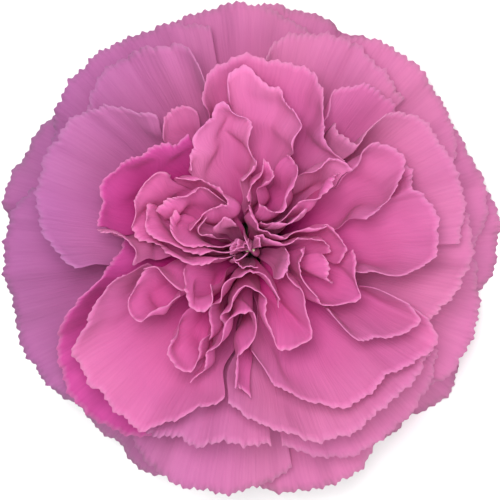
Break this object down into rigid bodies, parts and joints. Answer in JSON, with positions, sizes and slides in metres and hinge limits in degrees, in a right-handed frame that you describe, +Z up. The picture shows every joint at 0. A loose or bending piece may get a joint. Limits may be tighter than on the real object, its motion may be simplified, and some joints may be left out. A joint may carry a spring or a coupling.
{
  "type": "carnation bloom",
  "caption": "Full double carnation bloom, cut just under its calyx, with ruffled fringed petals round a folded heart, lying face up on a table.",
  "frame": {"origin": "middle of the bloom's outline, on the surface that it lies on", "axes": "+Z up; the bloom lies face up as it comes to rest, and leans from upright to the front, towards -Y"},
  "size_m": [0.0796, 0.0782, 0.0418],
  "materials": {
    "petal_outer": "thin velvety petal, mauve pink on the outside of the bloom",
    "petal_inner": "thin velvety petal, bright pink with deep magenta folds",
    "calyx": "smooth grey-green calyx with a waxy bloom",
    "stem": "smooth stem, pale where it is cut",
    "pistil": "smooth pale green seed case with two whitish styles"
  },
  "bodies": {
    "root": {"guard_petal_01": "petal_outer", "guard_petal_02": "petal_outer", "guard_petal_03": "petal_outer", "guard_petal_04": "petal_outer", "guard_petal_05": "petal_outer", "guard_petal_06": "petal_outer", "guard_petal_07": "petal_outer", "guard_petal_08": "petal_outer", "guard_petal_09": "petal_outer", "guard_petal_10": "petal_outer", "guard_petal_11": "petal_outer", "guard_petal_12": "petal_outer", "guard_petal_13": "petal_outer", "second_petal_01": "petal_outer", "second_petal_02": "petal_outer", "second_petal_03": "petal_outer", "second_petal_04": "petal_outer", "second_petal_05": "petal_outer", "second_petal_06": "petal_outer", "second_petal_07": "petal_outer", "second_petal_08": "petal_outer", "second_petal_09": "petal_outer", "third_petal_01": "petal_inner", "third_petal_02": "petal_inner", "third_petal_03": "petal_inner", "third_petal_04": "petal_inner", "third_petal_05": "petal_inner", "third_petal_06": "petal_inner", "third_petal_07": "petal_inner", "third_petal_08": "petal_inner", "third_petal_09": "petal_inner", "third_petal_10": "petal_inner", "heart_petal_01": "petal_inner", "heart_petal_02": "petal_inner", "heart_petal_03": "petal_inner", "heart_petal_04": "petal_inner", "heart_petal_05": "petal_inner", "heart_petal_06": "petal_inner", "heart_petal_07": "petal_inner", "heart_petal_08": "petal_inner", "heart_petal_09": "petal_inner", "heart_petal_10": "petal_inner", "heart_petal_11": "petal_inner", "heart_petal_12": "petal_inner", "heart_petal_13": "petal_inner", "heart_petal_14": "petal_inner", "heart_petal_15": "petal_inner", "heart_petal_16": "petal_inner", "heart_petal_17": "petal_inner", "heart_petal_18": "petal_inner", "heart_petal_19": "petal_inner", "heart_petal_20": "petal_inner", "heart_petal_21": "petal_inner", "calyx": "calyx", "bract_1": "calyx", "bract_2": "calyx", "bract_3": "calyx", "bract_4": "calyx", "receptacle": "stem", "pistil": "pistil"}
  },
  "joints": []
}
